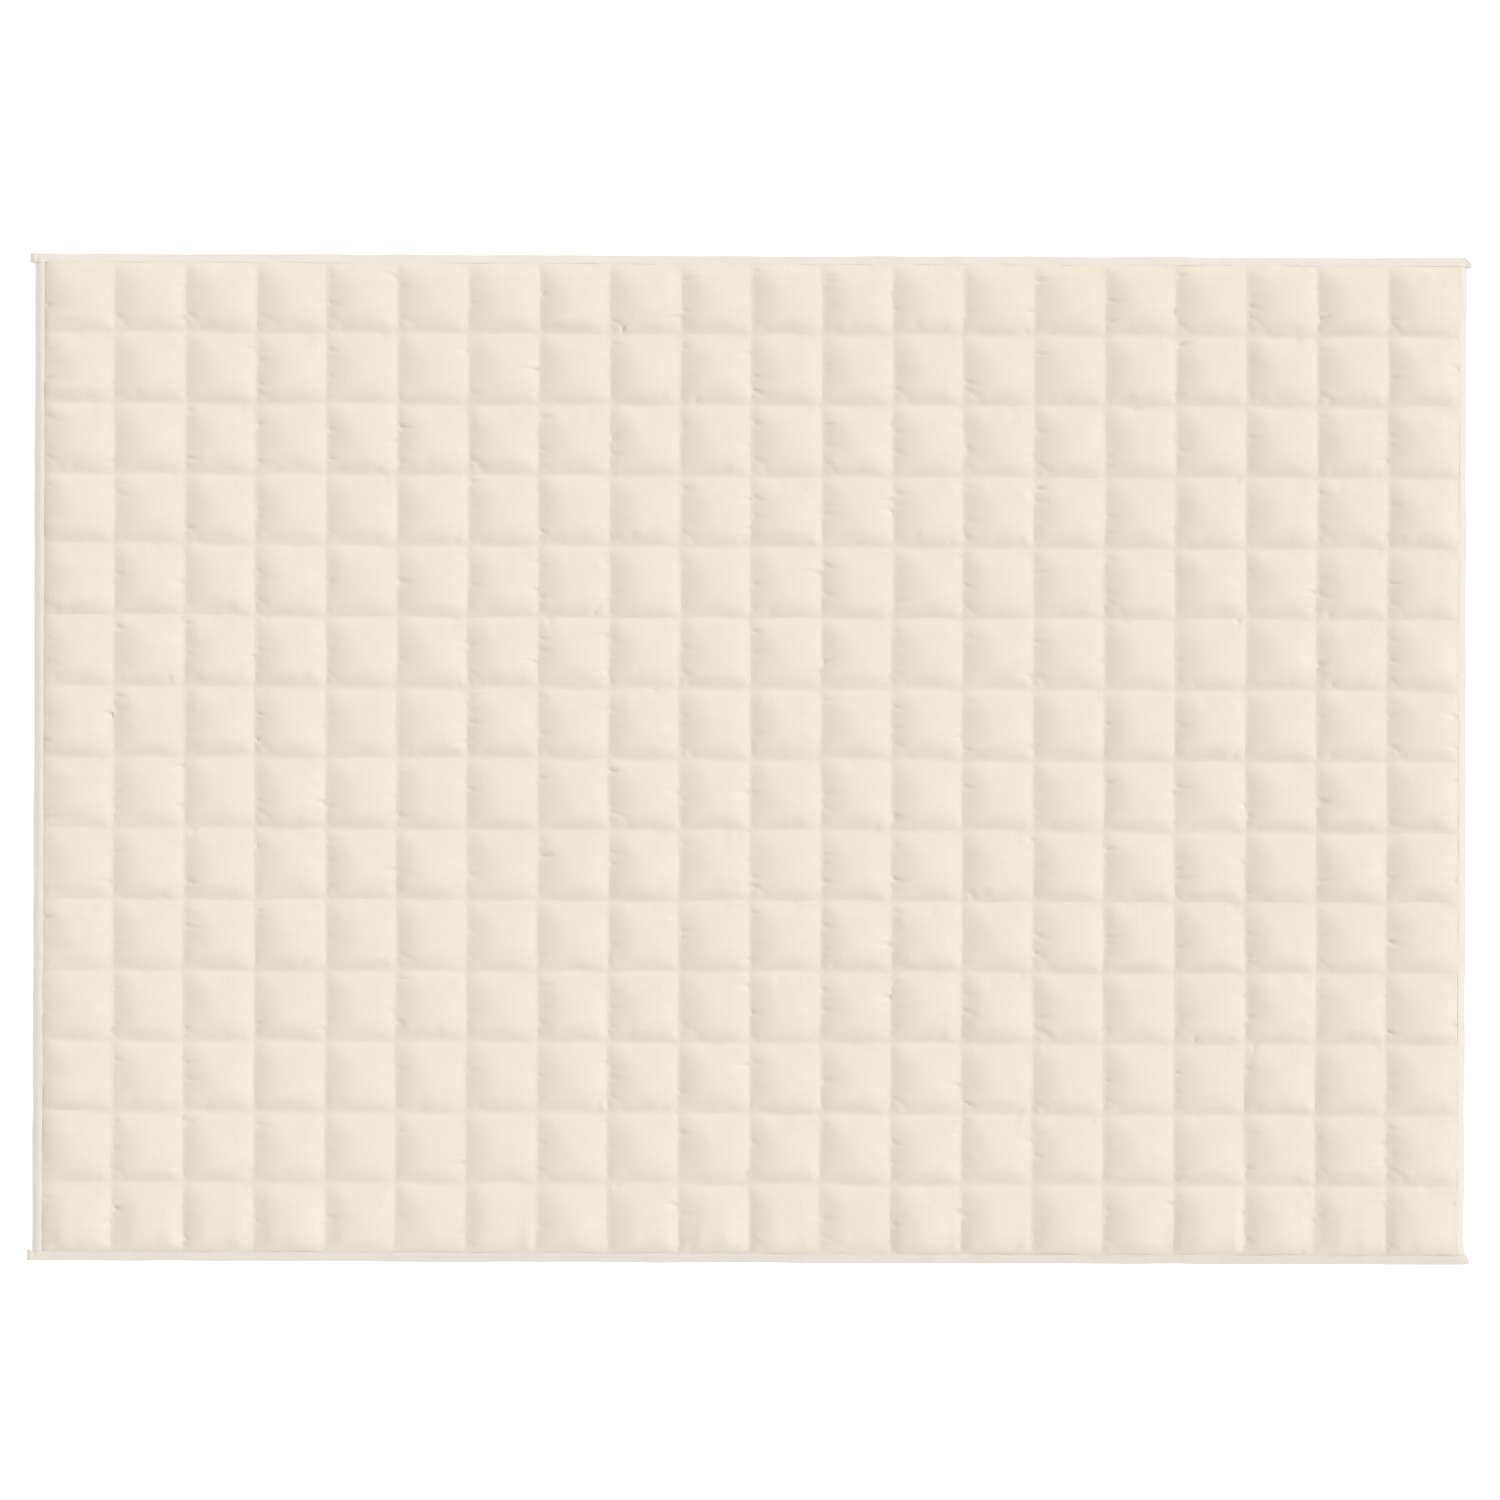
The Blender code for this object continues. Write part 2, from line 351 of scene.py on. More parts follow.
def pinched_corners(u, v):
    """How much of a pocket's height is left near its four corners, for every square.

    At distance r from a corner it is 1 - pinch * exp(-(r / reach)^2).
    """
    left_over = 1
    for corner_u, corner_v, least, most in PINCHES:
        pinch = by_chance(least, most)
        reach = by_chance(*PINCH_REACH) / SQUARE
        distance = np.hypot(u - corner_u, v - corner_v)
        left_over = left_over * (1 - pinch * np.exp(-((distance / reach) ** 2)))
    return left_over


HEAP_STARTS = (0.06, 0.14)  # where a heap's line meets the left seam, in squares
HEAP_SLANTS = (0.28, 0.48)  # how far it goes up from there to the right seam
HEAP_WIDTHS = (0.07, 0.12)
HEAP_HEIGHTS = (0.0007, 0.0027)
HEAP_PEAK = 0.1203  # about the largest value of u^1.2 (1 - u)^2
HEAP_FADE = 0.08


def heaped(u, v):
    """The height of a long heap of filling that has slid to the near left of every square.

    Along u it is u^1.2 (1 - u)^2 over its largest value, and it lies on a slanting line.
    With q the distance from that line over the heap's width, it is exp(0.4 - sqrt(q^2 +
    0.16)), and it fades at the near seam.
    """
    line = by_chance(*HEAP_STARTS) + by_chance(*HEAP_SLANTS) * u
    q = (v - line) / by_chance(*HEAP_WIDTHS)
    height = by_chance(*HEAP_HEIGHTS) * u**1.2 * (1 - u) ** 2 / HEAP_PEAK
    return height * np.exp(0.4 - np.sqrt(q**2 + 0.16)) * np.minimum(1, v / HEAP_FADE)


GATHERS = ((0.050, 0.0020), (0.016, 0.0012))  # how far apart the waves are, and how high
GATHER_REACH = 0.020
GATHER_FADE = 0.12  # how far in from a seam they fade, in squares

gather_chance = np.random.default_rng(seed=8)


def gathers(d, along, length, t):
    """The waves that a tape's sewing draws into the cloth at distance d from it.

    They are d / 20 mm * exp(1 - d / 20 mm) times smooth chance values along the tape, and
    fade at the seams that meet the tape, between which t goes from 0 to 1.
    """
    waves = 0
    for spacing, height in GATHERS:
        values = gather_chance.uniform(-height, height, (round(length / spacing), 1))
        waves = waves + blended(np.repeat(values, 2, axis=1), d, along / length)
    waves = waves * d / GATHER_REACH * np.exp(1 - d / GATHER_REACH)
    return waves * np.clip(np.minimum(t, 1 - t) / GATHER_FADE, 0, 1)


LEFT_TUCKS = (0.7, 0.5, 0.25)  # the share of squares with a first, second and third tuck there
RIGHT_TUCKS = (0.35, 0.15)
NEAR_TUCKS = (0.5,)
FAR_TUCKS = (0.45,)
DEEPEST_TUCK = 0.0023
TUCK_DEPTHS = (0.35, 0.9)  # of the deepest
TUCK_PEAKS = (0.0030, 0.0065)
TUCK_WIDTHS = (0.0030, 0.0055)
TUCK_PLACES = (0.12, 0.88)
TUCK_SLANT = 0.4


def tucks(from_seam, along_seam, share):
    """The depth of one tuck in a share of all squares, across one of their seams.

    A tuck is b / l * exp(1 - b / l) deep at distance b in from the seam, which peaks at l,
    and across its line it is (1 - 0.9 q) exp(-q), where q is (a / w)^2 at distance a.
    """
    depth = by_chance(*TUCK_DEPTHS) * DEEPEST_TUCK * (by_chance(0, 1) < share)
    b = from_seam * SQUARE
    peak = by_chance(*TUCK_PEAKS)
    slant = by_chance(-TUCK_SLANT, TUCK_SLANT)
    a = (along_seam - by_chance(*TUCK_PLACES)) * SQUARE - slant * b
    q = (a / by_chance(*TUCK_WIDTHS)) ** 2
    return depth * b / peak * np.exp(1 - b / peak) * (1 - 0.9 * q) * np.exp(-q)


NEAR_LEFT_CREASES = {"share": 0.3, "deepest": 0.0016}
NEAR_RIGHT_CREASES = {"share": 0.12, "deepest": 0.0012}
CREASE_DEPTHS = (0.3, 1)  # of the deepest
CREASE_RADII = (0.015, 0.026)
CREASE_OVALS = (0.8, 1.1)
CREASE_WIDTHS = (0.0028, 0.0042)
CREASE_FADE = 0.003


def corner_creases(u, v, share, deepest):
    """The depth of a crease bent around one corner in a share of all squares.

    With r the distance from the corner, the crease lies where r is its radius, and across it
    it is (1 - 0.7 q) exp(-q) deep, where q is ((r - radius) / w)^2. It fades at the seams.
    """
    depth = by_chance(*CREASE_DEPTHS) * deepest * (by_chance(0, 1) < share)
    radius = by_chance(*CREASE_RADII)
    r = np.hypot(u * by_chance(*CREASE_OVALS), v) * SQUARE
    q = ((r - radius) / by_chance(*CREASE_WIDTHS)) ** 2
    fade = np.minimum(1, np.minimum(u, v) * SQUARE / CREASE_FADE)
    return depth * fade * (1 - 0.7 * q) * np.exp(-q)


def joined(squares):
    """One grid from the grids of all squares, with each shared line taken once."""
    steps_y, steps_x, values = squares.shape[2] - 1, squares.shape[3] - 1, squares.shape[4]
    inner = squares[:, :, :-1, :-1].swapaxes(1, 2)
    inner = inner.reshape(ROWS * steps_y, COLUMNS * steps_x, values)
    last_in_row = squares[:, -1, :-1, -1].reshape(-1, 1, values)
    last_line = squares[-1, :, -1, :-1].reshape(1, -1, values)
    last_line = np.concatenate([last_line, squares[-1:, -1, -1:, -1]], axis=1)
    return np.concatenate([np.concatenate([inner, last_in_row], axis=1), last_line])


def with_hem(grid, tape_in, height, keeps=0):
    """The grid with one more line of points on each side, tape_in from the tape's fold.

    The new points lie at height plus keeps times the height of the points beside them.
    """
    grid = np.pad(grid, ((1, 1), (1, 1), (0, 0)), mode="edge")
    rim = {"near": grid[0], "far": grid[-1], "left": grid[:, 0], "right": grid[:, -1]}
    for end, line in rim.items():
        axis = 1 if end in ("near", "far") else 0
        line[:, axis] = edges[end] + inward[end] * tape_in[end]
        line[:, 2] = line[:, 2] * keeps + height[end]
    return grid


GROOVE = 0.0006  # how deep the left tape grips the cloth beside the border
GROOVE_WIDTH = 0.0015
GROOVE_START = 0.30  # the place along Y where it begins to grip
GROOVE_GROWTH = 0.35


def quilt_face():
    """The grid of the face, with its hem.

    Every square takes a pocket by chance, which is made fuller or flatter, rounded, slumped,
    leaned and pinched, and stands on the height of its seams. Heaps and gathers are added,
    tucks and creases are taken off. The left tape's groove is eased in along Y, and falls
    off by exp(-d / width) at distance d from the border.
    """
    u, v = np.meshgrid(share_x, share_y)
    picked = pockets[chance.integers(len(pockets), size=(ROWS, COLUMNS))]
    x, y = in_squares(u, v)
    full = by_chance(*FULLNESS)
    lean = leaning(u, v)
    rounder = (1 - (2 * u - 1) ** 2) ** ROUNDER
    slump = slumped(u, v)
    rise = picked[..., 2] * SQUARE * full * rounder * slump * lean * pinched_corners(u, v)
    rise = rise + heaped(u, v)
    rise = rise + gathers(x - columns[0], y - rows[0], rows[-1] - rows[0], v)
    rise = rise + gathers(y - rows[0], x - columns[0], columns[-1] - columns[0], u)
    tucked = 0
    for from_seam, along_seam, shares in (
        (u, v, LEFT_TUCKS), (1 - u, v, RIGHT_TUCKS), (v, u, NEAR_TUCKS), (1 - v, u, FAR_TUCKS),
    ):
        for share in shares:
            tucked = tucked + tucks(from_seam, along_seam, share)
    tucked = tucked + corner_creases(u, v, **NEAR_LEFT_CREASES)
    tucked = tucked + corner_creases(1 - u, v, **NEAR_RIGHT_CREASES)

    height = seam_height(x, y, SEAM_TOP, BORDER_TOPS) + rise
    face_x = square_x + picked[..., 0] * wide
    face_y = square_y + picked[..., 1] * deep
    grid = joined(np.stack([face_x, face_y, height, tucked], axis=-1))
    grid[..., 2] = rounded_valleys(grid[..., 2]) - grid[..., 3]
    grooved = eased((grid[..., 1] - GROOVE_START) / GROOVE_GROWTH)
    grid[..., 2] -= GROOVE * grooved * np.exp(-(grid[..., 0] - columns[0]) / GROOVE_WIDTH)
    grid = swayed(grid[..., :3])
    held_in = {end: width + BODY_TO_TAPE - HELD_IN for end, width in TAPE_WIDTHS.items()}
    grid = with_hem(grid, held_in, {end: -drop for end, drop in HELD_DROPS.items()}, keeps=1)
    grid[..., 2] = np.maximum(grid[..., 2], HEM_TOP)
    return with_hem(grid, dict.fromkeys(edges, HEM_EDGE), dict.fromkeys(edges, HEM_TOP))


REST_IN = 0.018  # how far in from a seam the underside meets the surface
SAG = 0.8
UNDER_SHARES = np.array([0, 0.04, 0.09, 0.15, 0.5, 0.85, 0.91, 0.96, 1])
UNDER_STEPS = len(UNDER_SHARES) - 1


def quilt_back():
    """The grid of the back, with its hem.

    With a and b the distances from the nearest seams over REST_IN, up to 1, the cloth is
    held up by 1 - a^SAG b^SAG of the seams' height, and where that is nothing it rests.
    """
    u, v = np.meshgrid(UNDER_SHARES, UNDER_SHARES)
    a = np.clip(np.minimum(u, 1 - u) * SQUARE / REST_IN, 0, 1)
    b = np.clip(np.minimum(v, 1 - v) * SQUARE / REST_IN, 0, 1)
    x, y = in_squares(u, v)
    height = seam_height(x, y, SEAM_UNDER, dict.fromkeys(edges, HEM_UNDER))
    grid = joined(np.stack([x, y, height * (1 - a**SAG * b**SAG)], axis=-1))
    resting = grid[..., 2] <= 0
    grid = swayed(grid)
    grid[resting, 2] = 0
    return with_hem(grid, dict.fromkeys(edges, HEM_EDGE), dict.fromkeys(edges, HEM_UNDER))


face = quilt_face()
back = quilt_back()


def around(index):
    """The numbers along the rim of a grid, counter-clockwise, back to the first."""
    return np.concatenate([index[0, :-1], index[:-1, -1], index[-1, :0:-1], index[::-1, 0]])


def line_below(count, steps):
    """For each line of the face's grid, the line of the back's grid that it is joined to."""
    inner = 1 + np.arange(count * steps + 1) * UNDER_STEPS // steps
    last = count * UNDER_STEPS + 2
    return np.array([0, 1, *inner, last - 1, last])


SHARP = math.radians(28)  # the angle from which the quilt's edges are sharp


def closed_part(name, first, last):
    """Face and back between two rows of quilting lines, walled along their common rim."""
    over_first = 2 + first * STEPS_Y if first > 0 else 0
    under_first = 1 + first * UNDER_STEPS if first > 0 else 0
    over_last = 2 + last * STEPS_Y if last < ROWS else len(face) - 1
    under_last = 1 + last * UNDER_STEPS if last < ROWS else len(back) - 1
    over = face[over_first : over_last + 1]
    under = back[under_first : under_last + 1]
    over_index = np.arange(over[..., 0].size).reshape(over.shape[:2])
    under_index = over_index.size + np.arange(under[..., 0].size).reshape(under.shape[:2])
    rows_below = line_below(ROWS, STEPS_Y)[over_first : over_last + 1] - under_first
    partner = under_index[np.ix_(rows_below, line_below(COLUMNS, STEPS_X))]
    top, low = around(over_index), around(partner)
    wall = np.stack([low[:-1], low[1:], top[1:], top[:-1]], axis=-1)
    slim = wall[:, 0] == wall[:, 1]
    faces = [*grid_faces(over_index).tolist(), *grid_faces(under_index)[:, ::-1].tolist()]
    faces += [*wall[~slim].tolist(), *wall[slim][:, 1:].tolist()]
    piece = new_piece(name, np.concatenate([over.reshape(-1, 3), under.reshape(-1, 3)]), faces)
    piece.data.set_sharp_from_angle(angle=SHARP)
    return piece


QUILT_THREAD = 0.0006  # from thread to thread of the weave
YARN = ((14, 900, 14), (900, 14, 14))  # how often it changes in a metre of each axis
CLOUDS = 5  # and how often the cloth's tone does


def math_node(tree, operation, *values):
    """A Math node with its values set or linked, and its result."""
    node = tree.nodes.new("ShaderNodeMath")
    node.operation = operation
    for socket, value in zip(node.inputs, values):
        if isinstance(value, bpy.types.NodeSocket):
            tree.links.new(value, socket)
        else:
            socket.default_value = value
    return node.outputs[0]


def set_inputs(node, values):
    """Gives a node's inputs their values by name."""
    for name, value in values.items():
        node.inputs[name].default_value = value


def noise_node(tree, places, scale, detail):
    """Noise from 0 to 1 that changes about scale times in a unit of the places."""
    noise = tree.nodes.new("ShaderNodeTexNoise")
    set_inputs(noise, {"Scale": scale, "Detail": detail})
    tree.links.new(places, noise.inputs["Vector"])
    return noise.outputs["Fac"]


def between(tree, share, first, second):
    """The colour at a linked share of the way from one colour to another."""
    mix = tree.nodes.new("ShaderNodeMix")
    mix.data_type = "RGBA"
    set_inputs(mix, {"A": (*first, 1), "B": (*second, 1)})
    tree.links.new(share, mix.inputs["Factor"])
    return mix.outputs["Result"]


def new_material(name, finish):
    """A material whose shader has the values of its finish."""
    material = bpy.data.materials.new(name)
    material.use_nodes = True
    set_inputs(material.node_tree.nodes["Principled BSDF"], finish)
    return material


def cotton_group():
    """Plain weave and uneven yarn on given coordinates, as a shader node group.

    Weave is sin(pi x / thread) * sin(pi y / thread), the over and under of crossing threads.
    Yarn is the mean of noise drawn out along X and noise drawn out along Y, the thick and
    thin of them. Cloud is slow noise, the unevenness of the cloth as a whole.
    """
    group = bpy.data.node_groups.new("cotton_cloth", "ShaderNodeTree")
    group.interface.new_socket("Vector", in_out="INPUT", socket_type="NodeSocketVector")
    thread = group.interface.new_socket("Thread", in_out="INPUT", socket_type="NodeSocketFloat")
    thread.default_value = QUILT_THREAD
    for output in ("Weave", "Yarn", "Cloud"):
        group.interface.new_socket(output, in_out="OUTPUT", socket_type="NodeSocketFloat")
    entry = group.nodes.new("NodeGroupInput")
    leave = group.nodes.new("NodeGroupOutput")
    parts = group.nodes.new("ShaderNodeSeparateXYZ")
    group.links.new(entry.outputs["Vector"], parts.inputs[0])
    waves = []
    for axis in ("X", "Y"):
        turns = math_node(group, "DIVIDE", parts.outputs[axis], entry.outputs["Thread"])
        waves.append(math_node(group, "SINE", math_node(group, "MULTIPLY", turns, math.pi)))
    group.links.new(math_node(group, "MULTIPLY", *waves), leave.inputs["Weave"])

    drawn = []
    for scale in YARN:
        mapping = group.nodes.new("ShaderNodeMapping")
        set_inputs(mapping, {"Scale": scale})
        group.links.new(entry.outputs["Vector"], mapping.inputs["Vector"])
        drawn.append(noise_node(group, mapping.outputs["Vector"], scale=1, detail=2))
    both = math_node(group, "ADD", *drawn)
    group.links.new(math_node(group, "MULTIPLY", both, 0.5), leave.inputs["Yarn"])

    cloud = noise_node(group, entry.outputs["Vector"], CLOUDS, detail=3)
    group.links.new(cloud, leave.inputs["Cloud"])
    return group


cotton_cloth = cotton_group()

COTTON_FINISH = {"Roughness": 0.9, "Sheen Weight": 0.08, "Sheen Roughness": 0.5}
YARN_TONE = 0.9  # how strongly the yarn, the cloud and the weave show between the two tones
CLOUD_TONE = 0.5
# the weave's share of the tone is painted shade: paler on the weave's crests, darker in its dips
PAINTED_WEAVE_SHADE = 0.10
TONE_SHIFT = 0.2  # brings their sum to the middle
RUMPLES = 45  # in a metre
YARN_RELIEF = 0.00025
WEAVE_RELIEF = 0.00004


def cotton_material(name, pale, deep_tone, thread, coordinates, rumple):
    """Matt cotton between two tones, with soft rumples, the yarn and the weave as bumps, and
    painted shade in the weave's dips.
    """
    material = new_material(name, COTTON_FINISH)
    tree = material.node_tree
    shader = tree.nodes["Principled BSDF"].inputs
    places = tree.nodes.new("ShaderNodeTexCoord").outputs[coordinates]
    cloth = tree.nodes.new("ShaderNodeGroup")
    cloth.node_tree = cotton_cloth
    cloth.inputs["Thread"].default_value = thread
    tree.links.new(places, cloth.inputs["Vector"])

    yarn = math_node(tree, "MULTIPLY", cloth.outputs["Yarn"], YARN_TONE)
    cloud = math_node(tree, "MULTIPLY", cloth.outputs["Cloud"], CLOUD_TONE)
    # painted shade and highlight: the weave lightens the tone where it stands up and darkens it
    # in its dips
    weave = math_node(tree, "MULTIPLY", cloth.outputs["Weave"], PAINTED_WEAVE_SHADE)
    tone = math_node(tree, "ADD", math_node(tree, "ADD", yarn, cloud), weave)
    tone = math_node(tree, "SUBTRACT", tone, TONE_SHIFT)
    tree.links.new(between(tree, tone, deep_tone, pale), shader["Base Color"])

    reliefs = (
        (noise_node(tree, places, RUMPLES, detail=3), rumple),
        (cloth.outputs["Yarn"], YARN_RELIEF),
        (cloth.outputs["Weave"], WEAVE_RELIEF),
    )
    normal = None
    for height, depth in reliefs:
        bump = tree.nodes.new("ShaderNodeBump")
        set_inputs(bump, {"Strength": 1, "Distance": depth})
        tree.links.new(height, bump.inputs["Height"])
        if normal is not None:
            tree.links.new(normal, bump.inputs["Normal"])
        normal = bump.outputs["Normal"]
    tree.links.new(normal, shader["Normal"])
    return material


QUILT_PALE = (0.745, 0.692, 0.572)
QUILT_DEEP = (0.715, 0.660, 0.540)
QUILT_RUMPLE = 0.0006
PART_ROWS = {"quilt_near_part": (0, 5), "quilt_middle_part": (5, 9), "quilt_far_part": (9, ROWS)}

quilt_cotton = cotton_material(
    "quilt_cotton", QUILT_PALE, QUILT_DEEP, QUILT_THREAD, "Object", QUILT_RUMPLE)
quilt_parts = [closed_part(name, first, last) for name, (first, last) in PART_ROWS.items()]
for part in quilt_parts:
    part.data.materials.append(quilt_cotton)
    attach(part, "root")
    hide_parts("quilted_body")


# Quilting thread
# One cream polyester thread runs through every seam, with stitches of about 3 mm on the face
# and on the back. Each stitch is a slim spindle that dips into the cloth at both ends.

STITCH_PITCH = 0.0040
STITCH_LENGTH = 0.0030
THREAD = 0.00045
THREAD_ABOVE = 0.00012  # how far the thread's middle lies off the seam
THREAD_FINISH = {"Roughness": 0.55}
TWISTS = 900  # the scale of the wave that shows the twist
PAINTED_TWIST_SHADE = 0.9  # the painted shade in the grooves between two twists
QUILTING_CREAM = (0.76, 0.71, 0.60)


def run_along(line):
    """How far along a line each of its points lies."""
    return np.append(0, np.cumsum(np.linalg.norm(np.diff(line, axis=0), axis=1)))


def stitches(lines, lift_by):
    """The points and faces of stitches along sewn lines.

    A stitch is an octahedron drawn out along its line: two tips STITCH_LENGTH apart, and
    between them four points THREAD / 2 to each side and above and below, on a middle that
    lies lift_by above the line.
    """
    starts, ends = [], []
    for line in lines:
        run = run_along(line)
        place = np.arange(STITCH_PITCH / 2, run[-1] - STITCH_PITCH, STITCH_PITCH)
        for kept, shift in ((starts, 0), (ends, STITCH_LENGTH)):
            tips = [np.interp(place + shift, run, line[:, axis]) for axis in range(3)]
            kept.append(np.stack(tips, axis=-1))
    start, end = np.concatenate(starts), np.concatenate(ends)
    middle = (start + end) / 2 + (0, 0, lift_by)
    ahead = (end - start) / np.linalg.norm(end - start, axis=1, keepdims=True)
    aside = np.cross((0, 0, 1), ahead) * THREAD / 2
    above = np.array((0, 0, THREAD / 2))
    girth = [middle - aside, middle - above, middle + aside, middle + above]
    points = np.stack([start, *girth, end], axis=1)
    sides = ((1, 2), (2, 3), (3, 4), (4, 1))
    shape = [(0, b, a) for a, b in sides] + [(5, a, b) for a, b in sides]
    faces = np.array(shape)[None] + np.arange(len(points))[:, None, None] * points.shape[1]
    return points, faces.reshape(-1, 3).tolist()


def seam_lines(grid, hem, steps_x, steps_y):
    """The inner quilting lines of a grid, first those along Y and then those along X."""
    along = [grid[hem:-hem, hem + line * steps_x] for line in range(1, COLUMNS)]
    across = [grid[hem + line * steps_y, hem:-hem] for line in range(1, ROWS)]
    return along + across


def thread_material(name, cream):
    """Smooth twisted thread: a fine slanting wave of painted shade, darker where the grooves
    between twists lie, over the cloth's cream.
    """
    material = new_material(name, THREAD_FINISH)
    tree = material.node_tree
    places = tree.nodes.new("ShaderNodeTexCoord").outputs["Object"]
    twist = tree.nodes.new("ShaderNodeTexWave")
    twist.bands_direction = "DIAGONAL"
    set_inputs(twist, {"Scale": TWISTS})
    tree.links.new(places, twist.inputs["Vector"])
    # painted shade: a darker copy of the cream for the grooves between the twists
    groove_shade = [PAINTED_TWIST_SHADE * share for share in cream]
    tone = between(tree, twist.outputs["Fac"], groove_shade, cream)
    tree.links.new(tone, tree.nodes["Principled BSDF"].inputs["Base Color"])
    return material


quilting_thread = thread_material("quilting_thread", QUILTING_CREAM)
face_seams = seam_lines(face, 2, STEPS_X, STEPS_Y)
back_seams = seam_lines(back, 1, UNDER_STEPS, UNDER_STEPS)
quilting = {
    "quilting_stitches_face": stitches(face_seams, THREAD_ABOVE),
    "quilting_stitches_back": stitches(back_seams, -THREAD_ABOVE),
}
for name, (points, faces) in quilting.items():
    thread = new_piece(name, points, faces)
    thread.data.materials.append(quilting_thread)
    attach(thread, "root")


# Binding tapes
# Cotton tape, its edges turned in, is folded over the hem and sewn down along its inner edge.
# The two side tapes go on first. The long tapes cover their ends, and run past the corners
# in small ears, where the fold is tucked shut.

FOLD_RADIUS = 0.0017
TAPE_CLOTH = 0.0010
BACK_EDGE_IN = 0.0013  # how far the tape's edge on the back lies outside that on the face
SIDE_END_UNDER = 0.0026  # how far the side tapes' ends go in between the long tapes' edges
SIDE_END_SINK = 0.0010  # and how much lower their tops lie there
SEWN_IN = 0.0022  # from the tape's inner edge to its row of stitches
SEWING_DENT = 0.0001
SEWING_DENT_WIDTH = 0.001
PADDING_LEAN = 1.15  # brings the padding's crest nearer to the inner edge
EDGE_BEVEL = 0.00025
EDGE_LIFT = 0.00005  # between a tape's inner edge and what it rests on
TOP_POINTS = 24
SLOT_POINTS = 6
FOLD_STEPS = 10
FLOOR_FROM = 0.0014  # how far in from the fold the slot's floor and its roof begin
ROOF_FROM = 0.0019
ROOF_NEXT = (0.0045, 0.007)
TAPE_SHARP = math.radians(50)  # the angle from which a tape's edges are sharp


def tape_top(s, rise, padding):
    """The height of a tape's top, with s from 0 at the fold to 1 at the inner edge.

    It is the fold's top plus rise * s plus padding * sin(pi s^1.15).
    """
    crest = np.sin(np.pi * np.clip(s, 0, 1) ** PADDING_LEAN)
    return 2 * FOLD_RADIUS + rise * s + padding * crest


def tape_section(end, rests_at):
    """The closed outline of a folded tape, as distance in from the fold and height.

    At distance d from the sewing the top is dented by exp(-(d / 1 mm)^2) of 0.1 mm. The fold
    is a half circle, and the outline comes back around the slot for the hem. The slot's roof
    is a cloth's thickness below the top, and ends at the height of the quilt.
    """
    width, tape = TAPE_WIDTHS[end], tapes[end]

    def top_at(t):
        s = (t - FOLD_RADIUS) / (width - FOLD_RADIUS)
        dent = SEWING_DENT * np.exp(-(((t - width + SEWN_IN) / SEWING_DENT_WIDTH) ** 2))
        return tape_top(s, tape["rise"], tape["padding"]) - dent

    t = np.linspace(width - EDGE_BEVEL, FOLD_RADIUS, TOP_POINTS)
    top = np.stack([t, top_at(t)], axis=-1)
    turn = np.radians(np.linspace(90, 270, FOLD_STEPS + 1)[1:-1])
    fold = FOLD_RADIUS * np.stack([1 + np.cos(turn), 1 + np.sin(turn)], axis=-1)
    back_edge = width - BACK_EDGE_IN
    t = np.linspace(FOLD_RADIUS, back_edge, SLOT_POINTS)
    under = np.stack([t, np.zeros(SLOT_POINTS)], axis=-1)
    t = np.linspace(back_edge, FLOOR_FROM, SLOT_POINTS)
    floor = np.stack([t, np.full(SLOT_POINTS, TAPE_CLOTH)], axis=-1)
    inside = np.array([(TAPE_CLOTH, FOLD_RADIUS)])
    t = np.array([ROOF_FROM, *ROOF_NEXT, width - HELD_IN, width - HELD_IN / 2, width])
    roof = np.stack([t, top_at(t) - TAPE_CLOTH], axis=-1)
    roof[-1, 1] = rests_at
    roof[-2, 1] = (roof[-3, 1] + rests_at) / 2
    edge = np.array([(width, top_at(width) - EDGE_BEVEL)])
    return np.concatenate([edge, top, fold, under, floor, inside, roof])


TAPE_STEP = 0.0032
EAR_STEP = 0.0007
EAR_REACH = 0.014


def stations(start, end, ears):
    """Places along a tape, close together in its ears.

    An end without an ear has one step, as long as a side tape goes in between the long ones.
    """
    in_ear, plain = np.arange(0, EAR_REACH, EAR_STEP), np.array([0, SIDE_END_UNDER])
    first, last = [in_ear if ear else plain for ear in ears]
    first, last = start + first, end - last[::-1]
    count = round((last[0] - first[-1]) / TAPE_STEP)
    return np.concatenate([first, np.linspace(first[-1], last[0], count + 1)[1:-1], last])


CLIMB_BEFORE = 0.004  # how far before a side tape's inner edge a long tape begins to climb
CLIMB = 0.006


def under_edge(height, end):
    """What a tape's inner edge rests at, beside a border at a given height.

    From the border the face falls evenly to where the tape holds it down.
    """
    return height - HELD_DROPS[end] * BODY_TO_TAPE / HELD_IN + EDGE_LIFT


def side_tape_rests(side, y):
    """The quilt's height under the inner edge of a side tape, at places along Y."""
    x = columns[0] if side == "left" else columns[-1]
    return under_edge(seam_height(x, np.clip(y, rows[0], rows[-1]), SEAM_TOP, BORDER_TOPS), side)


def long_tape_rests(end, x):
    """The height under the inner edge of a long tape, at places along X.

    It is the quilt's, and beyond the quilt's corners it is that of the side tapes' ends.
    """
    border = rows[0] if end == "near" else rows[-1]
    height = seam_height(np.clip(x, columns[0], columns[-1]), border, SEAM_TOP, BORDER_TOPS)
    height = under_edge(height, end)
    for side in ("left", "right"):
        inside = (x - edges[side]) * inward[side]
        s = np.clip((inside - FOLD_RADIUS) / (TAPE_WIDTHS[side] - FOLD_RADIUS), 0, 1)
        lowered = side_tape_rests(side, 0) - side_tape_rests(side, border)
        top = tape_top(s, tapes[side]["rise"] - lowered, tapes[side]["padding"]) + EDGE_LIFT
        over_it = eased((TAPE_WIDTHS[side] + CLIMB_BEFORE - inside) / CLIMB)
        height = height + (top - height) * over_it
    return height


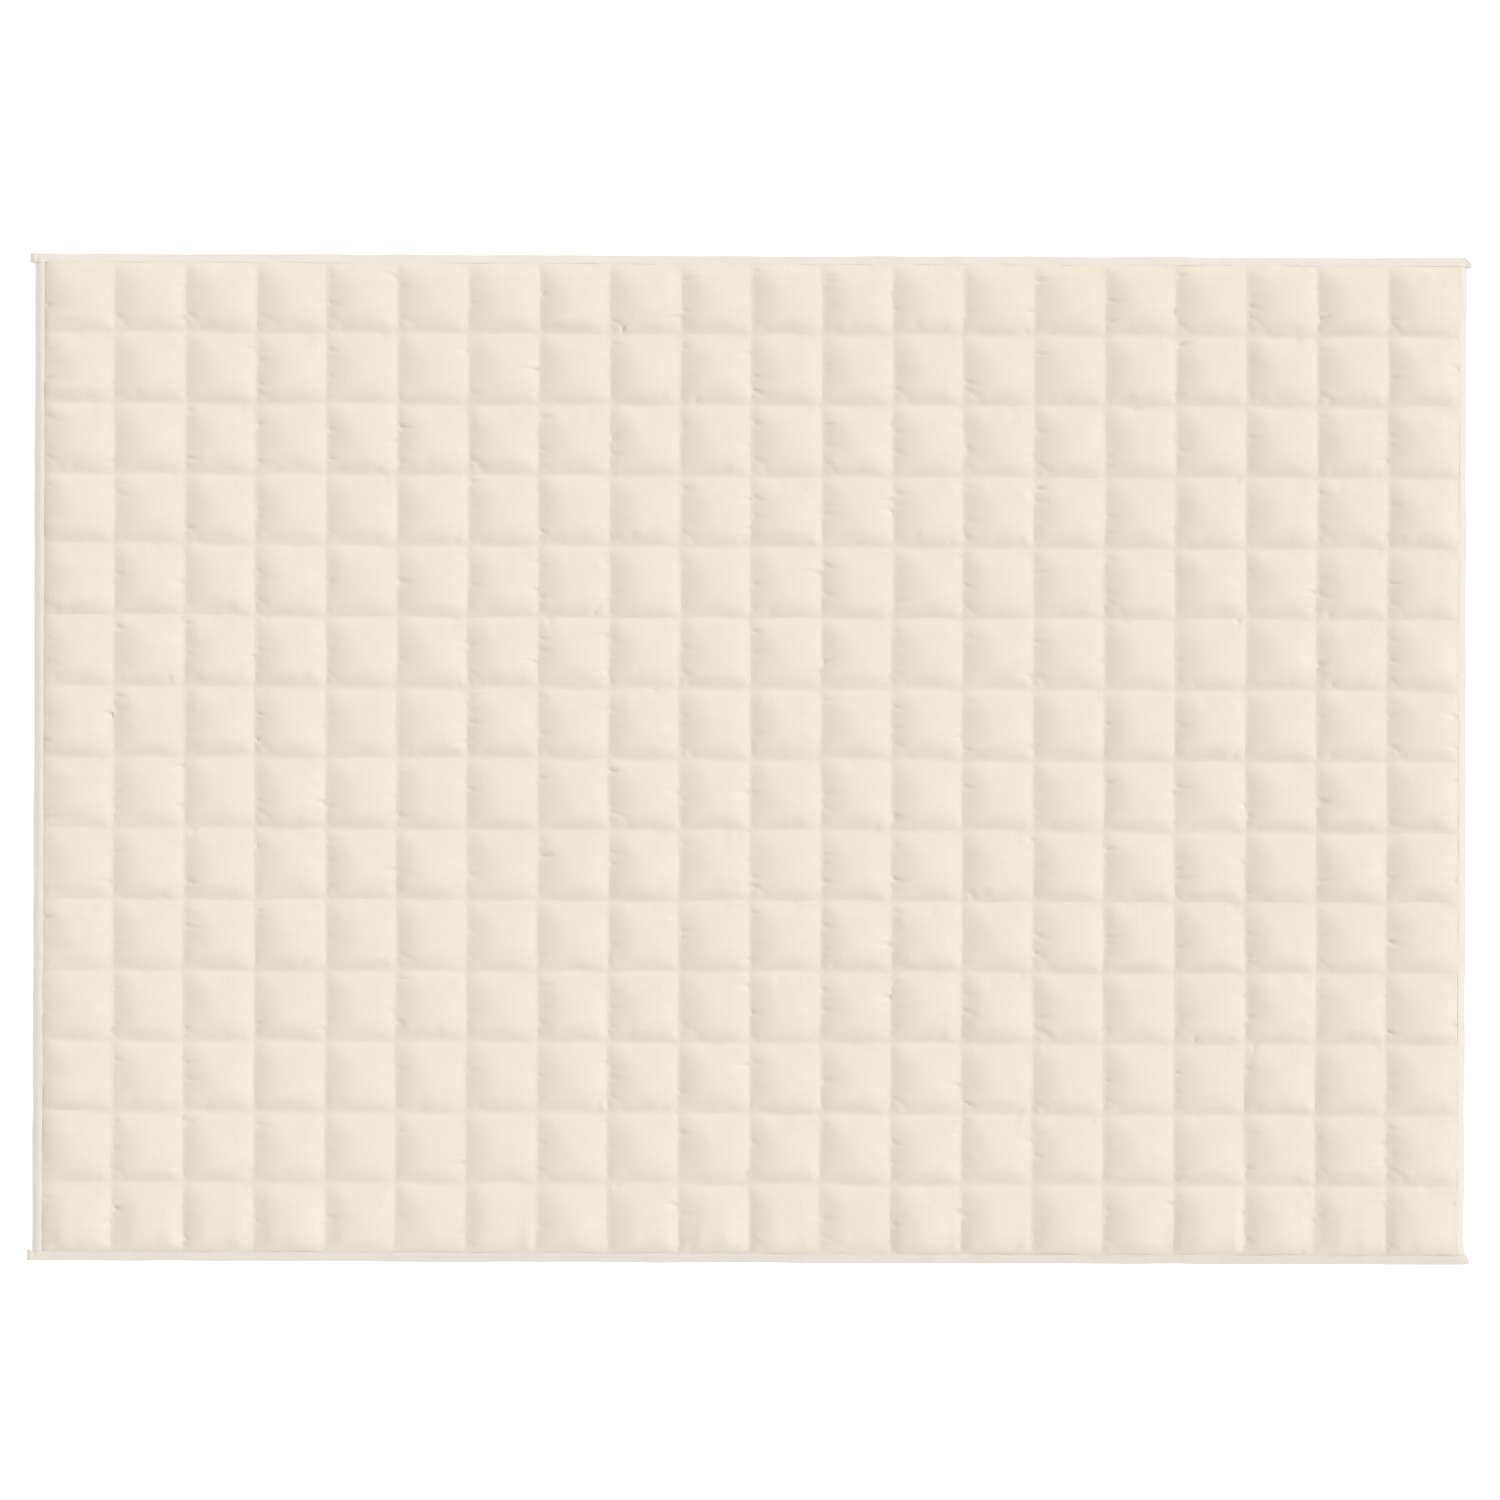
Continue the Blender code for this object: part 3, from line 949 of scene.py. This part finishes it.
END_FALL = 0.0050  # how far in from its tip an ear's top begins to fall
LOW = 0.6  # the height that it falls towards, in fold radii
TIP_HEIGHT = 0.25  # the share of its height above that which is left at the tip
BUMP_WIDTH = 0.0018
LIFT_REACH = 0.020  # how far in from its tip an ear that is lifted begins to rise
SLOT_SHUT = 0.97
SLOT_HASTE = 1.5  # it is shut two thirds of the way to the tip


def with_ear(ear, from_tip, s, upper, distance, height):
    """The outline's distance in and height, drawn up to an ear at places from its tip.

    Towards the tip the slot closes, and over the length of the ear's cut the fold and the
    inner edge move in by their amounts. The ear's top is lifted evenly towards its tip. Before
    the very end it is drawn up in a small bump, exp(-(d / width)^2) at distance d from where
    it then falls away.
    """
    slot = np.arange(s.size) >= s.size - 2 * SLOT_POINTS - 1
    near_tip = np.clip(1 - from_tip / EAR_REACH, 0, 1)[:, None]
    shut = eased(near_tip * SLOT_HASTE) * slot
    height = height + (FOLD_RADIUS - height) * SLOT_SHUT * shut * ear["closed"]
    bump = np.exp(-(((from_tip - END_FALL) / BUMP_WIDTH) ** 2))[:, None]
    height = height + ear["bump"] * bump * upper * np.sin(np.pi * np.clip(s, 0, 1))
    lifted = ear["lift"] * np.clip(1 - from_tip / LIFT_REACH, 0, 1)[:, None]
    height = height + lifted * upper * ~slot
    left_over = TIP_HEIGHT + (1 - TIP_HEIGHT) * np.clip(from_tip / END_FALL, 0, 1) ** 0.8
    low = FOLD_RADIUS * LOW
    height = height + (low - height) * (1 - left_over[:, None]) * ear["falls"]
    cut = np.clip(1 - from_tip / ear["cut"], 0, 1)[:, None] ** 1.2
    distance = distance + cut * (ear["fold_in"] * (1 - s) + ear["edge_in"] * s)
    return distance, height


LONG_SWELLS, SHORT_SWELLS = 0.035, 0.012  # how far apart a tape's swellings are
SHORT_SWELL = 0.6  # the short ones' height, over that of the long ones
RIPPLES = 0.008
STRAYS, INNER_STRAYS = 0.05, 0.02
INNER_STRAY = 0.0005
SWELL_REACH = 0.8

tape_chance = np.random.default_rng(seed=52)


def along_noise(share, length, spacing):
    """Smooth chance values from -1 to 1 along a tape, spacing apart."""
    values = tape_chance.uniform(-1, 1, max(3, round(length / spacing)))
    return blended(np.stack([values, values]), share, share * 0)


def tape_points(end, section, rests_at, place, span):
    """The distance in and the height of a tape's outline at every place along it.

    With s from 0 at the fold to 1 at the inner edge, its padding swells by sin(0.8 pi s) and
    the ripples at its sewing by s^2, and its fold and its inner edge stray by 1 - s and by
    s^2, each times smooth chance values. A side tape's hidden ends sink between the long
    tapes' edges, and their underside rises a hair.
    """
    tape = tapes[end]
    length = span[1] - span[0]
    share = (place - span[0]) / length
    distance, height = section[:, 0][None], section[:, 1][None]
    s = distance / TAPE_WIDTHS[end]
    upper = np.clip((height - FOLD_RADIUS) / FOLD_RADIUS, 0, 1)
    rests = (long_tape_rests if end in ("far", "near") else side_tape_rests)(end, place)
    height = height - upper * s * (rests_at - rests)[:, None]
    swell = along_noise(share, length, LONG_SWELLS)
    swell = tape["swell"] * (swell + SHORT_SWELL * along_noise(share, length, SHORT_SWELLS))
    ripple = tape["ripple"] * along_noise(share, length, RIPPLES)
    raised = swell[:, None] * np.sin(np.pi * s * SWELL_REACH) + ripple[:, None] * s**2
    height = height + upper * raised
    stray = tape["stray"] * along_noise(share, length, STRAYS)
    inner_stray = INNER_STRAY * along_noise(share, length, INNER_STRAYS)
    distance = distance + stray[:, None] * (1 - s) + inner_stray[:, None] * s**2

    if end in ("left", "right"):
        hidden = np.minimum(place - span[0], span[1] - place)[:, None] / SIDE_END_UNDER
        height = height + EDGE_LIFT * (height < EDGE_LIFT) * np.clip(2 - hidden, 0, 1)
        height = height - SIDE_END_SINK * upper * np.clip(1 - hidden, 0, 1)
    for ear, from_tip in zip(tape["ears"], (place - span[0], span[1] - place)):
        if ear:
            distance, height = with_ear(ear, from_tip, s, upper, distance, height)
    return distance, height


def tape_piece(name, end, span):
    """A tape from its section, carried along its side, and the line of its sewing.

    Its UV map "cloth" gives the place along the tape and the way around its section.
    """
    along_x = end in ("far", "near")
    rests_at = under_edge(BORDER_TOPS[end], end)
    section = tape_section(end, rests_at)
    place = stations(*span, tapes[end]["ears"])
    distance, z = tape_points(end, section, rests_at, place, span)
    across = edges[end] + inward[end] * distance
    along = np.broadcast_to(place[:, None], across.shape)
    points = np.stack([along, across, z] if along_x else [across, along, z], axis=-1)
    index = np.arange(z.size).reshape(z.shape)
    quads = grid_faces(np.concatenate([index, index[:, :1]], axis=1))
    caps = [index[0][::-1].tolist(), index[-1].tolist()]
    if (inward[end] < 0) == along_x:
        quads, caps = quads[:, ::-1], [cap[::-1] for cap in caps]
    piece = new_piece(name, points, quads.tolist() + caps)
    piece.data.set_sharp_from_angle(angle=TAPE_SHARP)

    cloth = np.stack(np.broadcast_arrays(place[:, None], run_along(section)[None]), axis=-1)
    corners = np.empty(len(piece.data.loops), np.int32)
    piece.data.loops.foreach_get("vertex_index", corners)
    layer = piece.data.uv_layers.new(name="cloth")
    layer.uv.foreach_set("vector", cloth.reshape(-1, 2)[corners].astype(np.float32).ravel())
    sewn = 1 + np.argmin(abs(section[1 : TOP_POINTS + 1, 0] - (TAPE_WIDTHS[end] - SEWN_IN)))
    return piece, points[:, sewn]


BINDING_PALE = (0.731, 0.694, 0.613)
BINDING_DEEP = (0.701, 0.662, 0.580)
BINDING_WEAVE = 0.0005  # from thread to thread
BINDING_RUMPLE = 0.0003

plain_ear = {"fold_in": 0, "edge_in": 0, "bump": 0, "lift": 0, "closed": 1, "falls": 1}
far_left_ear = {**plain_ear, "cut": 0.006, "bump": 0.0010}
far_right_ear = {
    **plain_ear, "cut": 0.009, "fold_in": 0.0085, "edge_in": 0.0008,
    "lift": 0.0022, "falls": 0.2}
near_left_ear = {**plain_ear, "cut": 0.007, "edge_in": 0.0036, "bump": 0.0005}
near_right_ear = {**plain_ear, "cut": 0.005, "fold_in": 0.0004, "edge_in": -0.0070}
right_near_end = {**plain_ear, "cut": 0.0135, "fold_in": -0.0030, "closed": 0, "falls": 0}
tapes = {
    "left": {
        "rise": 0.0012, "padding": 0.0013, "stray": 0.0005, "swell": 0.0005,
        "ripple": 0.00025, "ears": (None, None)},
    "right": {
        "rise": 0.0033, "padding": 0, "stray": 0.0010, "swell": 0.0003,
        "ripple": 0.00012, "ears": (right_near_end, None)},
    "far": {
        "rise": 0.0033, "padding": -0.0002, "stray": 0.0010, "swell": 0.0004,
        "ripple": 0.00012, "ears": (far_left_ear, far_right_ear)},
    "near": {
        "rise": 0.0022, "padding": 0.0003, "stray": 0.0006, "swell": 0.0006,
        "ripple": 0.0003, "ears": (near_left_ear, near_right_ear)},
}

binding_cotton = cotton_material(
    "binding_cotton", BINDING_PALE, BINDING_DEEP, BINDING_WEAVE, "UV", BINDING_RUMPLE)
sewn_lines = []
for end in tapes:
    low, high = tape_boxes[end]
    span = (low.x, high.x)
    if end in ("left", "right"):
        span = (low.y - SIDE_END_UNDER, high.y + SIDE_END_UNDER)
    piece, line = tape_piece("tape_" + end, end, span)
    sewn_lines.append(line)
    piece.data.materials.append(binding_cotton)
    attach(piece, "root")
    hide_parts("binding_" + end)


# Binding thread
# The same thread holds the tapes, in one row of stitches near their inner edge that shows on
# both sides of the blanket.

BINDING_CREAM = (0.78, 0.74, 0.65)

binding_thread = thread_material("binding_thread", BINDING_CREAM)
binding = {
    "binding_stitches_face": stitches(sewn_lines, THREAD_ABOVE),
    "binding_stitches_back": stitches([line * (1, 1, 0) for line in sewn_lines], 0),
}
for name, (points, faces) in binding.items():
    thread = new_piece(name, points, faces)
    thread.data.materials.append(binding_thread)
    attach(thread, "root")


# Floor, light and camera
# A white floor that curves up far away, a large soft sun from the right and the far side, an
# even white sky, and a camera straight above the middle.

FLOOR_RADIUS = 10.0
FLOOR_RISE = 5.0
BEND_STEPS = 12
FLOOR_SIDES = 96
FLOOR_BELOW = 0.0006  # the gap under the surface that the blanket lies on
FLOOR_WHITE = (0.93, 0.93, 0.93, 1)
FLOOR_GLOW = 0.25  # keeps the floor white around the blanket

ring = np.array([0.01, 1, 2, 4, 7, FLOOR_RADIUS])
bend = np.radians(np.linspace(0, 90, BEND_STEPS + 1)[1:])
radius = np.concatenate([ring, FLOOR_RADIUS + FLOOR_RISE * np.sin(bend)])
rise = np.concatenate([ring * 0, FLOOR_RISE * (1 - np.cos(bend))]) - FLOOR_BELOW
turn = np.radians(np.linspace(0, 360, FLOOR_SIDES, endpoint=False))
floor_x, floor_y = radius[:, None] * np.cos(turn), radius[:, None] * np.sin(turn)
floor_points = np.stack([floor_x, floor_y, rise[:, None] + 0 * turn], axis=-1)
floor_index = np.arange(radius.size * turn.size).reshape(radius.size, turn.size)
round_index = np.concatenate([floor_index, floor_index[:, :1]], axis=1)
floor_faces = grid_faces(round_index)[:, ::-1].tolist() + [floor_index[0].tolist()]
floor = new_piece("floor", floor_points, floor_faces)
floor_white = new_material("floor_white", {
    "Base Color": FLOOR_WHITE, "Roughness": 0.9,
    "Emission Color": (1, 1, 1, 1), "Emission Strength": FLOOR_GLOW})
floor.data.materials.append(floor_white)

EXPOSURE = 1.081  # the light that falls on level ground, over what a white card sends back
SUN_SHARE = 0.47
SUN_HEIGHT = math.radians(45)
SUN_BEARING = math.radians(27.5)  # from +X towards +Y
SUN_SOFTNESS = math.radians(25)

sun_light = bpy.data.lights.new("sun", "SUN")
sun_light.energy = EXPOSURE * SUN_SHARE * math.pi / math.sin(SUN_HEIGHT)
sun_light.angle = SUN_SOFTNESS
sun = bpy.data.objects.new("sun", sun_light)
sun.rotation_euler = (0, math.pi / 2 - SUN_HEIGHT, SUN_BEARING)
bpy.context.scene.collection.objects.link(sun)

sky = bpy.data.worlds.new("sky")
sky.use_nodes = True
set_inputs(sky.node_tree.nodes["Background"], {
    "Color": (1, 1, 1, 1), "Strength": EXPOSURE * (1 - SUN_SHARE)})
bpy.context.scene.world = sky
bpy.context.scene.view_settings.view_transform = "Standard"

LENS = 0.090
SENSOR = 0.036
VIEW_WIDTH = 2.0972
VIEW_CENTRE = (-0.0001, 0.0124)
VIEW_TURN = math.radians(0.19)

camera_data = bpy.data.cameras.new("camera")
camera_data.lens = LENS * 1000
camera_data.sensor_width = SENSOR * 1000
camera = bpy.data.objects.new("camera", camera_data)
camera.location = (*VIEW_CENTRE, VIEW_WIDTH * LENS / SENSOR)
camera.rotation_euler = (0, 0, VIEW_TURN)
bpy.context.scene.collection.objects.link(camera)
bpy.context.scene.camera = camera
